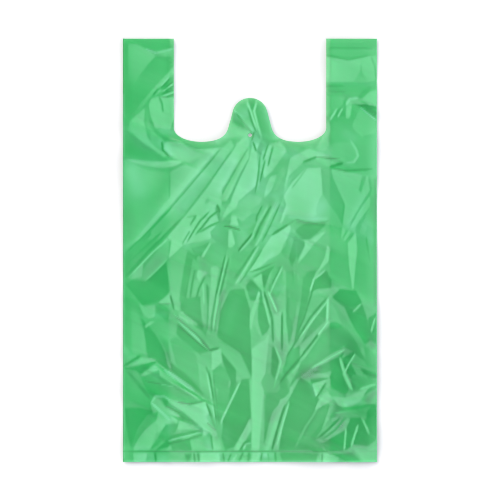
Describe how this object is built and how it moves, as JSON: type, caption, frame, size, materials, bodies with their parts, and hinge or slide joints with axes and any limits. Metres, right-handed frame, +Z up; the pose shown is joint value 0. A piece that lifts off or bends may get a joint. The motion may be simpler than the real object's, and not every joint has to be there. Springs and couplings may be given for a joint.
{
  "type": "plastic carrier bag",
  "caption": "Vest carrier bag of thin translucent film, lying flat: side gussets, a welded foot, strap handles and a tongue with a hanging hole between them.",
  "frame": {"origin": "on the ground, under the middle of the bag's flat outline", "axes": "+X across the bag, +Y from the foot to the strap tops, +Z up out of the front panel"},
  "size_m": [0.3, 0.5, 0.0046],
  "materials": {
    "film": "satin"
  },
  "bodies": {
    "root": {"carrier_bag": "film"}
  },
  "joints": []
}
